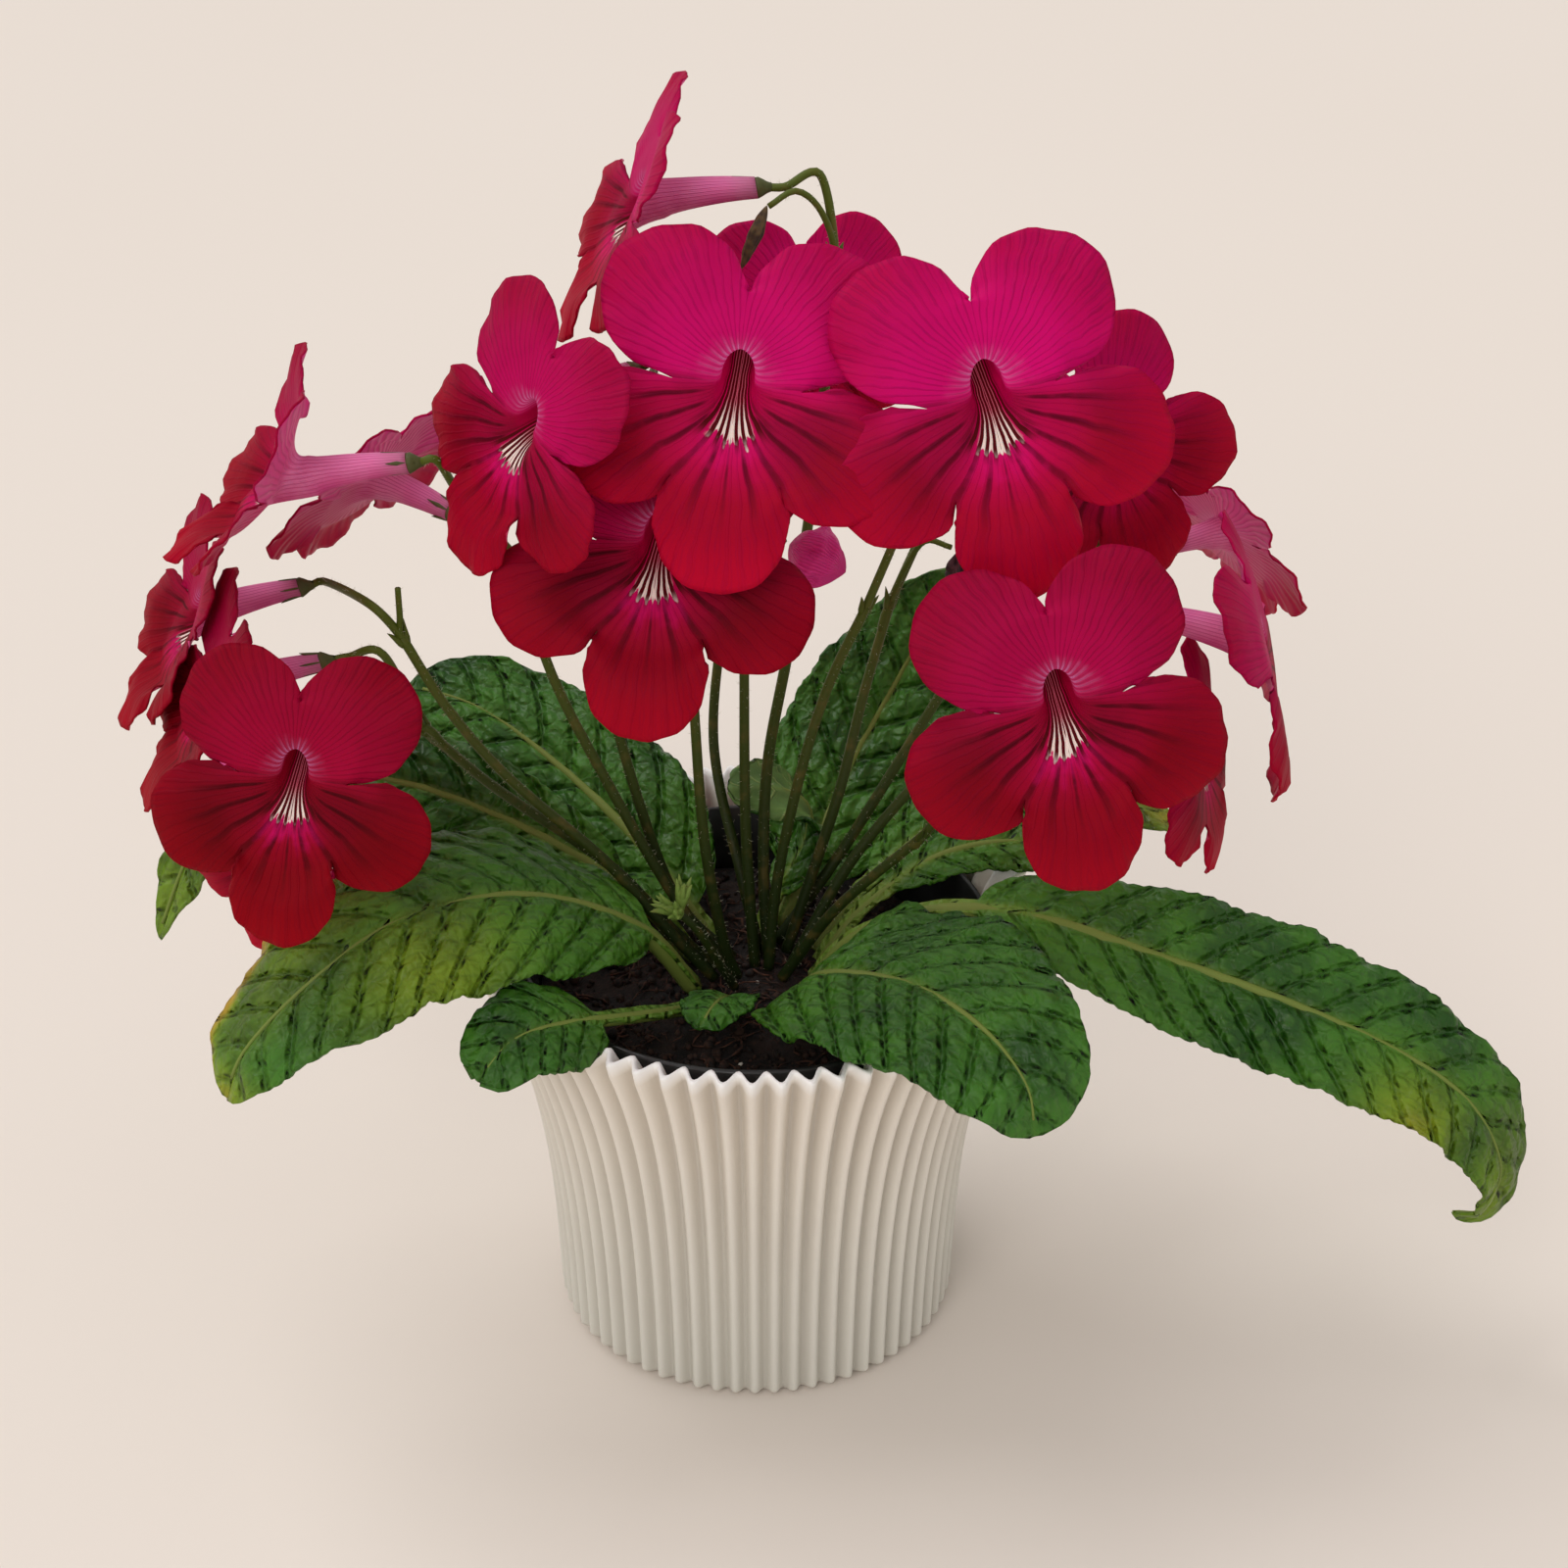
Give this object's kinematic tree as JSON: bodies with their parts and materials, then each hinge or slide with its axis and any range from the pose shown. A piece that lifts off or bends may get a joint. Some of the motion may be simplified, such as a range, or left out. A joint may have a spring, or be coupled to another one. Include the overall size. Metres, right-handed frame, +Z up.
{
  "type": "potted flowering house plant",
  "caption": "Potted streptocarpus with magenta five-lobed tubular flowers on slim stalks over wrinkled strap leaves, in a nursery pot inside a white fluted cover pot.",
  "frame": {"origin": "centre of the cover pot's underside, on the surface it stands on", "axes": "+Z up along the pot's axis, -Y towards the side most flowers face, +X to the right as seen from that side"},
  "size_m": [0.3068, 0.1478, 0.2823],
  "materials": {
    "pot_white": "matt white glazed-in-the-mass ceramic with a smooth fluted wall",
    "pot_black": "thin black moulded plastic",
    "peat_mix": "loose dark peat with fibres and a few white perlite grains",
    "leaf_green": "hairy wrinkled leaf, soft sheen, paler midrib, yellowing on two leaves",
    "stalk_green": "thin downy flower stalk, olive green",
    "petal_magenta": "velvety petal, magenta above and crimson below, white throat patch with dark stripes",
    "bud_pink": "folded pink bud",
    "spent_brown": "dry shrivelled flower"
  },
  "bodies": {
    "root": {"bud_hanging": "stalk_green", "bud_pink": "bud_pink", "corolla_back_centre": "petal_magenta", "corolla_back_left": "petal_magenta", "corolla_back_right": "petal_magenta", "corolla_centre_lower": "petal_magenta", "corolla_centre_upper": "petal_magenta", "corolla_far_left_high": "petal_magenta", "corolla_far_left_low": "petal_magenta", "corolla_far_left_mid": "petal_magenta", "corolla_far_right_high": "petal_magenta", "corolla_far_right_low": "petal_magenta", "corolla_far_right_mid": "petal_magenta", "corolla_left_lower": "petal_magenta", "corolla_left_upper": "petal_magenta", "corolla_right_lower": "petal_magenta", "corolla_right_upper": "petal_magenta", "corolla_top": "petal_magenta", "corolla_under_left": "petal_magenta", "cover_pot": "pot_white", "leaf_back_left": "leaf_green", "leaf_back_right": "leaf_green", "leaf_front_left": "leaf_green", "leaf_front_right": "leaf_green", "leaf_left_long": "leaf_green", "leaf_middle": "leaf_green", "leaf_right_back": "leaf_green", "leaf_right_droop": "leaf_green", "leaf_right_long": "leaf_green", "leaf_spoon": "leaf_green", "leaf_tiny": "leaf_green", "nursery_pot": "pot_black", "potting_mix": "peat_mix", "spent_flower": "spent_brown", "stalk_back_centre": "stalk_green", "stalk_back_right": "stalk_green", "stalk_centre_lower": "stalk_green", "stalk_centre_upper": "stalk_green", "stalk_left_high": "stalk_green", "stalk_left_low": "stalk_green", "stalk_left_mid": "stalk_green", "stalk_left_upper": "stalk_green", "stalk_right_high": "stalk_green", "stalk_right_lower": "stalk_green", "stalk_right_mid": "stalk_green", "stalk_right_upper": "stalk_green", "stalk_top": "stalk_green", "stalk_young_buds": "stalk_green"}
  },
  "joints": []
}
